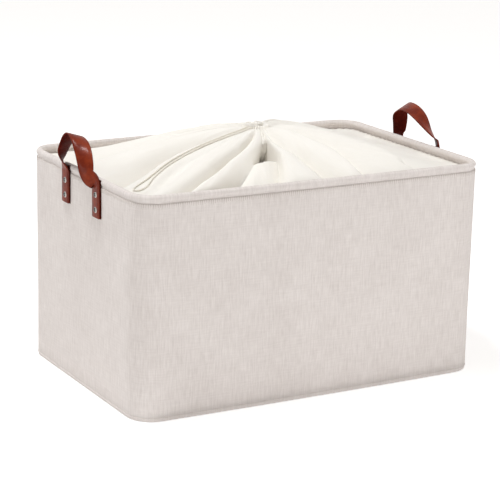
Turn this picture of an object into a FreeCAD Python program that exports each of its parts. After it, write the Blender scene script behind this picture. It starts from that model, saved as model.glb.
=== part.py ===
import FreeCAD, Part
import math
import os

from FreeCAD import Placement, Rotation, Vector

# Fabric storage bin with a gathered cloth closure and two riveted leather handles.
# Millimetres, +Z up, origin at the centre of the base, +X along the long side.

# --- body ---------------------------------------------------------------------
LENGTH = 600.0            # outside of the end walls
WIDTH = 400.0             # outside of the long walls
HEIGHT = 340.0            # floor to the top of the rim roll
CORNER_R = 46.0           # vertical corners
OUTER_CLOTH = 1.2         # linen-look cloth
INTERLINING = 2.0         # stiff felted sheet that makes the walls stand
LINING = 0.8              # inner cloth

# --- base ---------------------------------------------------------------------
BOTTOM_CLOTH = 1.2
BOTTOM_EDGE_R = 2.4       # rounding of the bottom panel's edge
BOTTOM_MARGIN = 4.0       # how far the bottom panel turns up the wall
WELT_R = 1.1              # piped seam between the bottom panel and the wall
BASE_BOARD = 2.5
BOARD_GAP = 0.3           # all round, so that the board drops in
BOTTOM_LINING = 0.8

# --- rim ----------------------------------------------------------------------
WIRE_R = 2.0              # steel wire that holds the mouth open
RIM_R = 5.0               # cloth roll round the wire
RIM_PROUD = 0.6           # roll outside the wall's face
BAND_CLOTH = 0.6          # stitched legs of the binding, one each side of the wall
BAND_DEPTH = 19.0         # rim top to the lower edge of the stitched legs
WALL_INTO_ROLL = 1.0      # how far the wall reaches up into the roll

# --- closure ------------------------------------------------------------------
COVER_CLOTH = 2.4         # gathered cotton, taken as one thickness
COVER_SEAM = 15.0         # rim top down to the line where the cover is sewn on
COVER_SEAM_STRIP = 4.0    # seam allowance below that line
COVER_CROWN = 44.0        # gathered top above the rim
COVER_SWELL = 1.1         # exponent of the cover's rise, from seam to crown
COVER_STEPS = 9
HEM_RING_R = 15.0         # gathered casing, to the middle of its tube
HEM_TUBE_R = 4.5
HEM_CORD_CLEAR = 0.1      # cord inside its casing

# --- drawcord -----------------------------------------------------------------
CORD_R = 1.3

# --- handles ------------------------------------------------------------------
STRAP_WIDTH = 25.0
STRAP_THICK = 2.2
LEG_SPREAD = 110.0        # between the middles of one handle's two legs
LEG_SHIFT = -5.0          # middle of each handle along Y
LEG_BOTTOM = 60.0         # rim top down to the cut ends of the legs
NECK_DROP = 16.0          # rim top down to the crease where the arch bends
NECK_GAP = 0.3            # each side of the crease
NECK_FLAT = 5.0           # strap that still lies flat above the crease
TAB_THICK = 1.6           # backing tab under each leg
TAB_WIDTH = 24.0
TAB_BELOW_RIM = 1.5       # rim top down to the tab's upper end
STRAP_STATIONS = 28

# --- rivets -------------------------------------------------------------------
RIVET_CAP_R = 4.75
RIVET_CAP_H = 2.8
RIVET_POST_R = 1.5
RIVET_BACK_R = 4.5
RIVET_BACK_H = 1.2
RIVET_SPACING = 23.0
RIVET_FROM_END = 12.0     # cut end of the leg up to the lower rivet
WASHER_R = 5.8
WASHER_THICK = 0.6

# --- worked out ---------------------------------------------------------------
WALL = OUTER_CLOTH + INTERLINING + LINING
RIM_INSET = RIM_R - RIM_PROUD
RIM_Z = HEIGHT - RIM_R
WALL_TOP = HEIGHT - 2 * RIM_R + WALL_INTO_ROLL
BAND_Z = HEIGHT - BAND_DEPTH
WALL_BOTTOM = BOTTOM_MARGIN + 2 * WELT_R
BOARD_TOP = BOTTOM_CLOTH + BASE_BOARD
FLOOR_Z = BOARD_TOP + BOTTOM_LINING
COVER_INSET = WALL + BAND_CLOTH
COVER_Z = HEIGHT - COVER_SEAM
CROWN_Z = HEIGHT + COVER_CROWN
STRAP_IN = TAB_THICK                       # strap's inner face from the wall
STRAP_MID = STRAP_IN + STRAP_THICK / 2
NECK_Z = HEIGHT - NECK_DROP
LEG_Z = HEIGHT - LEG_BOTTOM
RIVET_Z = (LEG_Z + RIVET_FROM_END, LEG_Z + RIVET_FROM_END + RIVET_SPACING)

# Middle line of each arch above the flat necks: distance out from the wall's face,
# along Y from the handle's middle, up from the crease, and the turn of the strap's
# width away from the length of the bin. On the wall the strap lies flat, at 90.
ARCH = {
    "left": [
        (STRAP_MID, 55, NECK_FLAT, 90), (7, 57, 20, 65), (6.5, 58, 31, 35), (4.5, 46, 51.5, 6),
        (3, 31, 64, -15), (6, -14, 51, 21), (9, -32.5, 28, 49), (8, -41, 14.5, 69),
        (STRAP_MID, -55, NECK_FLAT, 90),
    ],
    "right": [
        (STRAP_MID, 55, NECK_FLAT, 90), (7, 59.5, 16, 74), (7, 58, 37.5, 44), (4.5, 52.5, 55.5, -10),
        (-1, 27, 66, -24), (-3, -12.5, 57, -9), (2, -37.5, 34.5, 37), (9, -48.5, 16.5, 68),
        (STRAP_MID, -55, NECK_FLAT, 90),
    ],
}

# The doubled tail of the drawcord: out of the gathered hem, over the cover to a
# corner, round, and back.
CORD_ROUTE = [
    (-18.4, -8.6, 386.0), (-36.0, -13.0, 382.9), (-67.0, -18.5, 377.1),
    (-106.0, -27.0, 369.4), (-146.0, -38.5, 360.9), (-183.0, -56.0, 352.8),
    (-211.0, -76.5, 346.6), (-235.0, -95.5, 341.2), (-252.0, -106.0, 337.4),
    (-265.0, -113.0, 334.5), (-274.0, -123.5, 332.4), (-270.5, -133.5, 333.2),
    (-258.5, -132.5, 336.0), (-245.5, -119.5, 339.0), (-231.5, -102.0, 342.1),
    (-208.0, -82.0, 347.4), (-180.0, -62.0, 353.5), (-142.5, -45.0, 361.7),
    (-103.0, -32.5, 370.1), (-66.0, -25.5, 377.5), (-34.0, -20.0, 382.9),
    (-16.5, -12.6, 385.9),
]


def rounded_wire(half_x, half_y, radius, z):
    """Closed rounded rectangle about the Z axis."""
    points = []
    for sx, sy, turn in ((1, -1, -90), (1, 1, 0), (-1, 1, 90), (-1, -1, 180)):
        cx = sx * (half_x - radius)
        cy = sy * (half_y - radius)
        for step in (0, 45, 90):
            angle = math.radians(turn + step)
            points.append(Vector(cx + radius * math.cos(angle), cy + radius * math.sin(angle), z))
    edges = []
    for corner in range(4):
        first, middle, last = points[3 * corner:3 * corner + 3]
        following = points[(3 * corner + 3) % 12]
        edges.append(Part.Arc(first, middle, last).toShape())
        edges.append(Part.LineSegment(last, following).toShape())
    return Part.Wire(edges)


def wall_line(inset, z):
    """Outline of the bin, drawn in by inset from the wall's outer face."""
    return rounded_wire(LENGTH / 2 - inset, WIDTH / 2 - inset, CORNER_R - inset, z)


def block(inset, low, high):
    return Part.Face(wall_line(inset, low)).extrude(Vector(0, 0, high - low))


def sleeve(outer, inner, low, high):
    """Upright wall between two insets."""
    return block(outer, low, high).cut(block(inner, low, high))


def ring(inset, z, radius):
    """Round rod that follows the outline."""
    path = wall_line(inset, z)
    start = path.Edges[1].Vertexes[0].Point
    along = path.Edges[1].Vertexes[1].Point.sub(start)
    profile = Part.Wire(Part.makeCircle(radius, start, along))
    line = Part.Wire(path.Edges[1:] + path.Edges[:1])
    return line.makePipeShell([profile], True, False)


# --- body ---------------------------------------------------------------------
def make_body():
    return {
        "outer_wall": sleeve(0, OUTER_CLOTH, WALL_BOTTOM, WALL_TOP),
        "wall_interlining": sleeve(OUTER_CLOTH, OUTER_CLOTH + INTERLINING, BOTTOM_CLOTH, WALL_TOP),
        "inner_lining": sleeve(OUTER_CLOTH + INTERLINING, WALL, BOARD_TOP, WALL_TOP),
    }


def make_bottom_panel():
    """Shallow tray of cloth: the panel and the margin that turns up the wall."""
    outside = block(0, 0, BOTTOM_MARGIN)
    low_edges = [e for e in outside.Edges if abs(e.BoundBox.ZMax) < 0.01]
    outside = outside.makeFillet(BOTTOM_EDGE_R, low_edges)
    return outside.cut(block(OUTER_CLOTH, BOTTOM_CLOTH, BOTTOM_MARGIN))


def make_base():
    board_inset = OUTER_CLOTH + INTERLINING + BOARD_GAP
    return {
        "bottom_panel": make_bottom_panel(),
        "bottom_welt": ring(0, BOTTOM_MARGIN + WELT_R, WELT_R),
        "base_board": block(board_inset, BOTTOM_CLOTH, BOARD_TOP),
        "bottom_lining": block(WALL, BOARD_TOP, FLOOR_Z),
    }


# --- rim ----------------------------------------------------------------------
def rim_outside():
    """Everything that the binding covers, solid right through."""
    band = sleeve(-BAND_CLOTH, WALL + BAND_CLOTH, BAND_Z, RIM_Z)
    return ring(RIM_INSET, RIM_Z, RIM_R).fuse(band)


def make_rim():
    wire = ring(RIM_INSET, RIM_Z, WIRE_R)
    wall = sleeve(0, WALL, BAND_Z, WALL_TOP)
    return {
        "rim_wire": wire,
        "rim_binding": rim_outside().cut(wall).cut(wire),
    }


# --- closure ------------------------------------------------------------------
def cover_hill(drop):
    """Solid under the cover's upper face, from the seam line to the gathered hem."""
    sections = []
    for step in range(COVER_STEPS + 1):
        share = step / COVER_STEPS
        half_x = LENGTH / 2 - COVER_INSET + share * (HEM_RING_R - LENGTH / 2 + COVER_INSET)
        half_y = WIDTH / 2 - COVER_INSET + share * (HEM_RING_R - WIDTH / 2 + COVER_INSET)
        radius = (CORNER_R - COVER_INSET) * (1 - share) + HEM_RING_R * 0.9 * share
        rise = 1 - (1 - share) ** COVER_SWELL
        z = COVER_Z + (CROWN_Z - COVER_Z) * rise - drop
        sections.append(rounded_wire(half_x, half_y, radius, z))
    return Part.makeLoft(sections, True, True)


def hem_tube(radius):
    return Part.makeTorus(HEM_RING_R, radius, Vector(0, 0, CROWN_Z))


def make_cover():
    cloth = cover_hill(0).cut(cover_hill(COVER_CLOTH))
    strip = sleeve(COVER_INSET, COVER_INSET + COVER_CLOTH / 2, COVER_Z - COVER_SEAM_STRIP, COVER_Z)
    mouth = Part.makeCylinder(HEM_RING_R, 4 * HEM_TUBE_R, Vector(0, 0, CROWN_Z - 2 * HEM_TUBE_R))
    casing = hem_tube(HEM_TUBE_R).cut(hem_tube(CORD_R + HEM_CORD_CLEAR))
    cover = cloth.cut(mouth).cut(hem_tube(HEM_TUBE_R)).fuse(strip).fuse(casing)
    return cover


# --- drawcord -----------------------------------------------------------------
def route_wire(route):
    """Straight runs joined by tangent arcs, as large as the two runs allow."""
    points = [Vector(*p) for p in route]
    edges = []
    here = points[0]
    radii = []
    for before, corner, after in zip(points, points[1:], points[2:]):
        back = before.sub(corner)
        ahead = after.sub(corner)
        reach = 0.45 * min(back.Length, ahead.Length)
        turn = math.pi - back.getAngle(ahead)
        radii.append(reach / math.tan(turn / 2))
        back.normalize()
        ahead.normalize()
        arc_in = corner + back * reach
        arc_out = corner + ahead * reach
        bisector = back + ahead
        bisector.normalize()
        middle = corner + bisector * (radii[-1] / math.cos(turn / 2) - radii[-1])
        edges.append(Part.LineSegment(here, arc_in).toShape())
        edges.append(Part.Arc(arc_in, middle, arc_out).toShape())
        here = arc_out
    edges.append(Part.LineSegment(here, points[-1]).toShape())
    print("cord arcs (mm):", " ".join("%.0f" % r for r in radii))
    return Part.Wire(edges)


def make_drawcord():
    path = route_wire(CORD_ROUTE)
    start = Vector(*CORD_ROUTE[0])
    along = Vector(*CORD_ROUTE[1]).sub(start)
    profile = Part.Wire(Part.makeCircle(CORD_R, start, along))
    tail = path.makePipeShell([profile], True, False)
    section = math.pi * CORD_R ** 2
    print("cord tail: %.0f mm long, volume %.4f of section x length"
          % (path.Length, tail.Volume / (section * path.Length)))
    return {"hem_cord": hem_tube(CORD_R), "drawcord_tail": tail}


# --- handles ------------------------------------------------------------------
def arch_stations(side, controls):
    """Cross-sections of the strap along its arch, turned as it twists."""
    places = [Vector(side * (LENGTH / 2 + out), y + LEG_SHIFT, NECK_Z + NECK_GAP + up)
              for out, y, up, turn in controls]
    turns = [Vector(turn, y, up) for out, y, up, turn in controls]
    line = Part.BSplineCurve()
    upright = Vector(0, 0, 1)
    line.interpolate(Points=places, InitialTangent=upright, FinalTangent=-upright)
    knots = line.getKnots()
    twist = Part.BSplineCurve()
    twist.interpolate(Points=turns, Parameters=knots)
    wires = []
    for step in range(STRAP_STATIONS + 1):
        u = knots[0] + (knots[-1] - knots[0]) * step / STRAP_STATIONS
        centre = line.value(u)
        along = line.tangent(u)[0]
        outward = Vector(side, 0, 0)
        outward = outward - along * outward.dot(along)
        outward.normalize()
        across = along.cross(outward) * -side
        angle = math.radians(twist.value(u).x)
        wide = outward * math.cos(angle) + across * math.sin(angle)
        thick = along.cross(wide)
        corners = [centre + wide * (a * STRAP_WIDTH / 2) + thick * (b * STRAP_THICK / 2)
                   for a, b in ((-1, -1), (1, -1), (1, 1), (-1, 1))]
        wires.append(Part.makePolygon(corners + corners[:1]))
    return [dropped(wires[0], NECK_FLAT)] + wires + [dropped(wires[-1], NECK_FLAT)]


def dropped(wire, depth):
    """Copy of a section, straight below it."""
    lower = wire.copy()
    lower.translate(Vector(0, 0, -depth))
    return lower


def make_arch(side, controls):
    return Part.makeLoft(arch_stations(side, controls), True, True)


def wall_plate(side, y, out, thick, width, low, high):
    """Upright plate on an end wall, out from its face."""
    plate = Part.makeBox(thick, width, high - low)
    x = LENGTH / 2 + out if side > 0 else -LENGTH / 2 - out - thick
    plate.translate(Vector(x, y - width / 2, low))
    return plate


def outward_turned(profile, side, y, z):
    """Turned piece with its axis along X through (y, z) of an end wall's face."""
    solid = profile.copy()
    solid.Placement = Placement(
        Vector(side * LENGTH / 2, y, z), Rotation(Vector(0, 1, 0), 90 * side))
    return solid


def rivet_cap():
    """Domed head on its post, along +Z from the wall's outer face."""
    foot = STRAP_IN + STRAP_THICK
    ball_r = (RIVET_CAP_R ** 2 + RIVET_CAP_H ** 2) / (2 * RIVET_CAP_H)
    ball = Part.makeSphere(ball_r, Vector(0, 0, foot + RIVET_CAP_H - ball_r))
    dome = ball.common(Part.makeCylinder(2 * RIVET_CAP_R, RIVET_CAP_H, Vector(0, 0, foot)))
    inside = WALL + WASHER_THICK
    post = Part.makeCylinder(RIVET_POST_R, foot + inside, Vector(0, 0, -inside))
    return dome.fuse(post)


def rivet_back():
    """Low head on the inside, pressed over the post's end."""
    start = -WALL - WASHER_THICK - RIVET_BACK_H
    disc = Part.makeCylinder(RIVET_BACK_R, RIVET_BACK_H, Vector(0, 0, start))
    rim = [e for e in disc.Edges if abs(e.BoundBox.ZMax - start) < 0.01]
    return disc.makeFillet(RIVET_BACK_H * 0.6, rim)


def washer():
    disc = Part.makeCylinder(WASHER_R, WASHER_THICK, Vector(0, 0, -WALL - WASHER_THICK))
    return disc.cut(rivet_hole())


def rivet_hole():
    reach = 4 * (WALL + STRAP_IN + STRAP_THICK)
    return Part.makeCylinder(RIVET_POST_R, reach, Vector(0, 0, -reach / 2))


def make_handle(name, side, drills):
    """One handle: arch, two legs, two backing tabs and their rivets."""
    nodes = {name + "_handle_arch": make_arch(side, ARCH[name])}
    binding = rim_outside()
    for leg, way in (("front", -1), ("rear", 1)):
        y = LEG_SHIFT + way * LEG_SPREAD / 2
        holes = [outward_turned(rivet_hole(), side, y, z) for z in RIVET_Z]
        drills.extend(holes)
        strap = wall_plate(side, y, STRAP_IN, STRAP_THICK, STRAP_WIDTH, LEG_Z, NECK_Z - NECK_GAP)
        tab = wall_plate(side, y, 0, TAB_THICK, TAB_WIDTH, LEG_Z, HEIGHT - TAB_BELOW_RIM)
        tag = name + "_" + leg
        nodes[tag + "_strap_leg"] = strap.cut(holes)
        nodes[tag + "_backing_tab"] = tab.cut(binding).cut(holes)
        for kind, build in (("caps", rivet_cap), ("backs", rivet_back), ("washers", washer)):
            pair = [outward_turned(build(), side, y, z) for z in RIVET_Z]
            nodes[tag + "_rivet_" + kind] = Part.makeCompound(pair)
    return nodes


def main():
    nodes = {}
    drills = []
    nodes.update(make_body())
    nodes.update(make_base())
    nodes.update(make_rim())
    nodes["closure_cover"] = make_cover()
    nodes.update(make_drawcord())
    for name, side in (("left", -1), ("right", 1)):
        nodes.update(make_handle(name, side, drills))
    for name in ("outer_wall", "wall_interlining", "inner_lining"):
        nodes[name] = nodes[name].cut(drills)
    os.makedirs("parts", exist_ok=True)
    for name, shape in nodes.items():
        box = shape.BoundBox
        print("%-28s solids %d valid %s volume %.0f  x %.1f..%.1f y %.1f..%.1f z %.1f..%.1f" % (
            name, len(shape.Solids), shape.isValid(), shape.Volume,
            box.XMin, box.XMax, box.YMin, box.YMax, box.ZMin, box.ZMax))
        shape.exportStep("parts/" + name + ".step")


main()
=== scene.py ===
# %% [markdown]
# # A fabric storage bin with a gathered closure
# The bin is a linen-look cloth box on a stiff felt core, held open at the mouth by a
# steel wire in a rolled binding. A cotton closure is sewn inside the rim and drawn
# together by a cord, and each end wall carries a leather handle on four rivets.
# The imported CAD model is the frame: it gives every size and place, and each soft
# piece is modelled again here over its CAD solid.

# %% Load the frame
import math

import bmesh
import bpy
import numpy as np
from mathutils import Matrix, Vector, noise
from mathutils.bvhtree import BVHTree
from mathutils.kdtree import KDTree


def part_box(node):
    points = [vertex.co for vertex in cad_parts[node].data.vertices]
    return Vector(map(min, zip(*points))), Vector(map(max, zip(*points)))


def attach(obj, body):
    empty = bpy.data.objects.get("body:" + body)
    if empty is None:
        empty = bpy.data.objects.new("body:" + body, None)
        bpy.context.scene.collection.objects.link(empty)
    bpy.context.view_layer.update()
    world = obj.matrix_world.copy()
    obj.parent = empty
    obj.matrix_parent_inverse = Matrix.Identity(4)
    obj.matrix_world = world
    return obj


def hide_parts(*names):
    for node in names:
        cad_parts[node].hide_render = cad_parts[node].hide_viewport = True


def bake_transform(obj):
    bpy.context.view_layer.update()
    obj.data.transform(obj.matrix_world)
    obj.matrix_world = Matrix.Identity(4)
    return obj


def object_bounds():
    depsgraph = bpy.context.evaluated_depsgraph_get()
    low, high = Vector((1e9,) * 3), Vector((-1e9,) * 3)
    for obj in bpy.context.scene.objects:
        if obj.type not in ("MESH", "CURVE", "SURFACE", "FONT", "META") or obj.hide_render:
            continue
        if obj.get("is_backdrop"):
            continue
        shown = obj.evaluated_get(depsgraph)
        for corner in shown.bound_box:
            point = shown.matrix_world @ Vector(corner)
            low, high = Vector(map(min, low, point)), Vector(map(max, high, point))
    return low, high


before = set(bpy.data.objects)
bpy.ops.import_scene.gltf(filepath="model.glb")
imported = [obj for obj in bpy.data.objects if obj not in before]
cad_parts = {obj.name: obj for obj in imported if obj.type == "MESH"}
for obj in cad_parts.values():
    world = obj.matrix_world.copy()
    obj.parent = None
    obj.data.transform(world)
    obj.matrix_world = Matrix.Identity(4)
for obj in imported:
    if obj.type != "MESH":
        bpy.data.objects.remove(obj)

cad_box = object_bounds()

# %% Sizes that the pieces share
_, wall_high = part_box("outer_wall")
_, rim_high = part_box("rim_binding")
_, cover_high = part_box("closure_cover")
HALF_X, HALF_Y, WALL_TOP = wall_high
CORNER = 0.040
RIM_TOP = rim_high[2]
ROLL_INSET, ROLL_Z, ROLL_R = 0.0044, RIM_TOP - 0.005, 0.005
SEAM_Z, CROWN_Z = RIM_TOP - 0.015, cover_high[2] - 0.0045
print("mouth %.0f x %.0f mm, rim at %.0f mm" % (2000 * HALF_X, 2000 * HALF_Y, 1000 * RIM_TOP))

# %% [markdown]
# ## Camera, light and floor
# A camera needs a place, a direction and a lens. A long lens from about three metres
# keeps the bin's edges nearly parallel, as in a product picture. The camera could be
# aimed with a Track To constraint, but a matrix built from its direction and a small
# roll is plain arithmetic and stays exact.

# %% Camera
target = Vector((-0.0026, 0.0060, 0.1819))
azimuth, elevation, roll, distance = (math.radians(-29.633), math.radians(14.794),
                                      math.radians(1.325), 2.952)
back = Vector((math.sin(azimuth) * math.cos(elevation),
               -math.cos(azimuth) * math.cos(elevation), math.sin(elevation)))
level = back.to_track_quat("Z", "Y").to_matrix()
turned = level @ Matrix.Rotation(roll, 3, "Z")
camera = bpy.data.objects.new("camera", bpy.data.cameras.new("camera"))
camera.data.sensor_width, camera.data.lens = 36.0, 133.1
camera.matrix_world = Matrix.Translation(target + back * distance) @ turned.to_4x4()
bpy.context.scene.collection.objects.link(camera)
bpy.context.scene.camera = camera
print("camera at", [round(x, 3) for x in camera.matrix_world.translation])

# %% [markdown]
# The light is a plain soft studio: one lamp overhead shades the folds of the white
# cover, and two wide ones stand low in front and on the left for the walls. One big
# window light would be simpler, but it washes the folds out. The lamps are slightly
# cool and the fill from the world slightly warm, so the cloth turns cream in its
# hollows. The floor and the world look white to the camera and in reflections only,
# through Light Path, so the white doesn't add light to the bin.

# %% Studio lamps
def soft_lamp(name, place, aim, size, power):
    data = bpy.data.lights.new(name, "AREA")
    data.color = (0.97, 0.985, 1.0)
    data.shape, data.size, data.energy = "DISK", size, power
    lamp = bpy.data.objects.new(name, data)
    lamp.location = place
    lamp.rotation_mode = "QUATERNION"
    lamp.rotation_quaternion = (Vector(aim) - Vector(place)).to_track_quat("-Z", "Y")
    bpy.context.scene.collection.objects.link(lamp)


soft_lamp("top lamp", (-0.7, 0.3, 3.0), (0, 0, 0.3), 0.6, 45)
soft_lamp("front lamp", (0.9, -2.9, 0.3), (0, 0, 0.1), 1.4, 33)
soft_lamp("side lamp", (-2.9, -0.2, 0.3), (0, 0, 0.1), 1.4, 17)
scene = bpy.context.scene
scene.view_settings.view_transform = "Standard"


# %% White surroundings
def add(tree, kind, settings=None, values=None):
    """New node with its settings and input values."""
    node = tree.nodes.new(kind)
    for key, value in (settings or {}).items():
        setattr(node, key, value)
    for key, value in (values or {}).items():
        node.inputs[key].default_value = value
    return node


def seen_white(tree):
    """1 for camera, glossy and transmission rays."""
    path = add(tree, "ShaderNodeLightPath")
    one = add(tree, "ShaderNodeMath", {"operation": "MAXIMUM"})
    both = add(tree, "ShaderNodeMath", {"operation": "MAXIMUM"})
    tree.links.new(path.outputs["Is Camera Ray"], one.inputs[0])
    tree.links.new(path.outputs["Is Glossy Ray"], one.inputs[1])
    tree.links.new(one.outputs[0], both.inputs[0])
    tree.links.new(path.outputs["Is Transmission Ray"], both.inputs[1])
    return both.outputs[0]


world = bpy.data.worlds.new("studio")
scene.world = world
world.use_nodes = True
tree = world.node_tree
sky = tree.nodes["Background"]
white = seen_white(tree)
FILL, FILL_TINT = 0.43, (1.0, 0.955, 0.91, 1)
tint = add(tree, "ShaderNodeMix", {"data_type": "RGBA"}, {6: FILL_TINT, 7: (1, 1, 1, 1)})
strength = add(tree, "ShaderNodeMapRange", values={"To Min": FILL, "To Max": 1.0})
tree.links.new(white, tint.inputs[0])
tree.links.new(white, strength.inputs["Value"])
tree.links.new(tint.outputs[2], sky.inputs["Color"])
tree.links.new(strength.outputs["Result"], sky.inputs["Strength"])
print("world", FILL, "as light, 1 as seen")

# %% Floor
floor_mesh = bmesh.new()
bmesh.ops.create_circle(floor_mesh, cap_ends=True, segments=64, radius=6)
data = bpy.data.meshes.new("floor")
floor_mesh.to_mesh(data)
floor = bpy.data.objects.new("floor", data)
scene.collection.objects.link(floor)
floor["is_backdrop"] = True
paint = bpy.data.materials.new("pale floor")
paint.use_nodes = True
tree = paint.node_tree
base = tree.nodes["Principled BSDF"]
base.inputs["Base Color"].default_value = (0.92, 0.92, 0.92, 1)
base.inputs["Roughness"].default_value = 0.9
glow = add(tree, "ShaderNodeEmission", values={"Color": (1, 1, 1, 1)})
lift = add(tree, "ShaderNodeMath", {"operation": "MULTIPLY"}, {1: 0.52})
tree.links.new(seen_white(tree), lift.inputs[0])
tree.links.new(lift.outputs[0], glow.inputs["Strength"])
both = add(tree, "ShaderNodeAddShader")
tree.links.new(base.outputs[0], both.inputs[0])
tree.links.new(glow.outputs[0], both.inputs[1])
tree.links.new(both.outputs[0], tree.nodes["Material Output"].inputs["Surface"])
data.materials.append(paint)
print("floor radius 6 m")

# %% [markdown]
# ## The cord's line
# The drawcord's doubled tail leaves the gathered hem, lies on a fold of the closure
# down to a front corner, turns there and comes back. A cord is best made as one NURBS
# spline: its few points pull a smooth line round them, so it never kinks. The points
# are the ones that the construction uses, in metres. Each point carries the cord's
# radius, under a bevel depth of 1, because the curve's bounding box grows by the
# points' radius.

# %% Drawcord
CORD_ROUTE = [
    (-0.0184, -0.0086, 0.3860), (-0.0360, -0.0130, 0.3829), (-0.0670, -0.0185, 0.3771),
    (-0.1060, -0.0270, 0.3694), (-0.1460, -0.0385, 0.3609), (-0.1830, -0.0560, 0.3528),
    (-0.2110, -0.0765, 0.3466), (-0.2350, -0.0955, 0.3412), (-0.2520, -0.1060, 0.3374),
    (-0.2650, -0.1130, 0.3345), (-0.2740, -0.1235, 0.3324), (-0.2705, -0.1335, 0.3332),
    (-0.2585, -0.1325, 0.3360), (-0.2455, -0.1195, 0.3390), (-0.2315, -0.1020, 0.3421),
    (-0.2080, -0.0820, 0.3474), (-0.1800, -0.0620, 0.3535), (-0.1425, -0.0450, 0.3617),
    (-0.1030, -0.0325, 0.3701), (-0.0660, -0.0255, 0.3775), (-0.0340, -0.0200, 0.3829),
    (-0.0165, -0.0126, 0.3859),
]
CORD_R = 0.0013
line = bpy.data.curves.new("cord line", "CURVE")
line.dimensions = "3D"
spline = line.splines.new("NURBS")
spline.points.add(len(CORD_ROUTE) - 1)
for point, place in zip(spline.points, CORD_ROUTE):
    point.co, point.radius = (*place, 1), CORD_R
spline.order_u = 3
spline.use_endpoint_u = True
line.resolution_u = 12
line.bevel_depth = 1.0
line.bevel_resolution = 4
line.use_fill_caps = True
cord = bpy.data.objects.new("drawcord", line)
scene.collection.objects.link(cord)
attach(cord, "bin")
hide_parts("drawcord_tail")
print("cord spline of", len(CORD_ROUTE), "points")

# %% [markdown]
# ## Finishes
# Cloth, leather and metal each get an effect group: a small set of nodes with named
# inputs, built once. The group works out colour, roughness and height, and the shader
# stays in the material. Patterns on cloth follow a UV map laid out in metres, so that
# a thread is as wide on the rim as on the walls; on the CAD pieces they read the
# object's own coordinates.

# %% Group helpers
def effect(name, inputs, outputs):
    """Empty node group with its sockets, and its two end nodes."""
    group = bpy.data.node_groups.new(name, "ShaderNodeTree")
    for label, kind, value in inputs:
        socket = group.interface.new_socket(label, in_out="INPUT", socket_type=kind)
        if value is not None:
            socket.default_value = value
    for label, kind in outputs:
        group.interface.new_socket(label, in_out="OUTPUT", socket_type=kind)
    return group, group.nodes.new("NodeGroupInput"), group.nodes.new("NodeGroupOutput")


def sums(tree, kind, a, b, clamp=False):
    """Maths node on two sockets or numbers."""
    node = add(tree, "ShaderNodeMath", {"operation": kind, "use_clamp": clamp})
    for slot, value in ((0, a), (1, b)):
        if isinstance(value, (int, float)):
            node.inputs[slot].default_value = value
        else:
            tree.links.new(value, node.inputs[slot])
    return node.outputs[0]


def stretched(tree, vector, scale):
    """Vector multiplied per axis."""
    node = add(tree, "ShaderNodeVectorMath", {"operation": "MULTIPLY"})
    node.inputs[1].default_value = scale
    tree.links.new(vector, node.inputs[0])
    return node.outputs[0]


def cloudy(tree, vector, scale, detail=2.0, rough=0.5):
    """Noise value on a vector."""
    node = add(tree, "ShaderNodeTexNoise", values={"Scale": scale, "Detail": detail,
                                                   "Roughness": rough})
    tree.links.new(vector, node.inputs["Vector"])
    return node.outputs["Fac"]


def mixed(tree, factor, a, b, kind="MIX"):
    """Colour mix of two sockets or colours."""
    node = add(tree, "ShaderNodeMix", {"data_type": "RGBA", "blend_type": kind})
    for name, value in ((0, factor), (6, a), (7, b)):
        if isinstance(value, (int, float, tuple)):
            node.inputs[name].default_value = value
        else:
            tree.links.new(value, node.inputs[name])
    return node.outputs[2]


VEC, COL, NUM = "NodeSocketVector", "NodeSocketColor", "NodeSocketFloat"
print("helpers ready")

# %% [markdown]
# Woven cloth: two sets of threads cross, and here and there a thread is thicker, which
# shows as a short streak along it. The streaks are noise stretched along one axis of
# the UV map, once up the wall and once, weaker, round it.

# %% Weave group
weave, start, end = effect(
    "woven cloth",
    [("Vector", VEC, None), ("Thread Colour", COL, (0.8, 0.8, 0.8, 1)),
     ("Gap Colour", COL, (0.6, 0.6, 0.6, 1)), ("Thread Pitch", NUM, 0.0008),
     ("Slub", NUM, 0.5)],
    [("Color", COL), ("Roughness", NUM), ("Height", NUM)])
vector = start.outputs["Vector"]
axes = add(weave, "ShaderNodeSeparateXYZ")
weave.links.new(vector, axes.inputs[0])
turns = sums(weave, "DIVIDE", 2 * math.pi, start.outputs["Thread Pitch"])
warp = sums(weave, "SINE", sums(weave, "MULTIPLY", axes.outputs[0], turns), 0)
weft = sums(weave, "SINE", sums(weave, "MULTIPLY", axes.outputs[1], turns), 0)
over = sums(weave, "MULTIPLY_ADD", sums(weave, "MULTIPLY", warp, weft), 0.5)
upright = cloudy(weave, stretched(weave, vector, (420, 40, 1)), 1.0, 3.0, 0.6)
lying = cloudy(weave, stretched(weave, vector, (34, 460, 1)), 1.0, 3.0, 0.6)
patchy = cloudy(weave, vector, 14.0, 2.0, 0.5)
streak = sums(weave, "ADD", sums(weave, "MULTIPLY", sums(weave, "SUBTRACT", upright, 0.5), 2.4),
              sums(weave, "MULTIPLY", sums(weave, "SUBTRACT", lying, 0.5), 1.1))
streak = sums(weave, "MULTIPLY", streak, start.outputs["Slub"])
soft = sums(weave, "MULTIPLY", sums(weave, "SUBTRACT", patchy, 0.5), 0.5)
share = sums(weave, "ADD", sums(weave, "ADD", streak, soft), 0.62, clamp=True)
weave.links.new(mixed(weave, share, start.outputs["Gap Colour"],
                      start.outputs["Thread Colour"]), end.inputs["Color"])
weave.links.new(sums(weave, "MULTIPLY_ADD", share, -0.15), end.inputs["Roughness"])
end.inputs["Roughness"].links[0].from_node.inputs[2].default_value = 0.95
weave.links.new(sums(weave, "ADD", sums(weave, "MULTIPLY", over, 0.35), share),
                end.inputs["Height"])
print("woven cloth:", len(weave.nodes), "nodes")
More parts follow.
